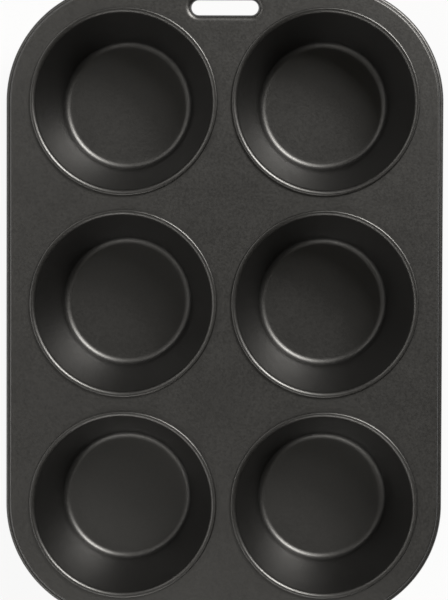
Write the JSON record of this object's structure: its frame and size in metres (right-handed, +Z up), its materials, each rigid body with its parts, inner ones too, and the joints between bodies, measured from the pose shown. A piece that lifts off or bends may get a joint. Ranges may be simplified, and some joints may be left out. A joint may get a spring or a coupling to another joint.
{
  "type": "jumbo muffin pan",
  "caption": "Rectangular jumbo muffin pan: deep round tapered cups seamed into a flat deck with a rolled wired edge and a hanging slot at one end, in a dark non-stick finish.",
  "frame": {"origin": "centre of the pan in plan, on the plane of the cup floors' undersides", "axes": "+X across the pan, +Y along the pan towards the end with the hanging slot, +Z up out of the cups"},
  "size_m": [0.234, 0.342, 0.0486],
  "materials": {
    "coated_deck": "satin charcoal non-stick coating on steel sheet",
    "coated_cup": "satin charcoal non-stick coating on drawn steel",
    "wire_steel": "bare drawn steel wire"
  },
  "bodies": {
    "root": {"deck": "coated_deck", "cup_back_left": "coated_cup", "cup_back_right": "coated_cup", "cup_middle_left": "coated_cup", "cup_middle_right": "coated_cup", "cup_front_left": "coated_cup", "cup_front_right": "coated_cup", "rim_wire": "wire_steel"}
  },
  "joints": []
}
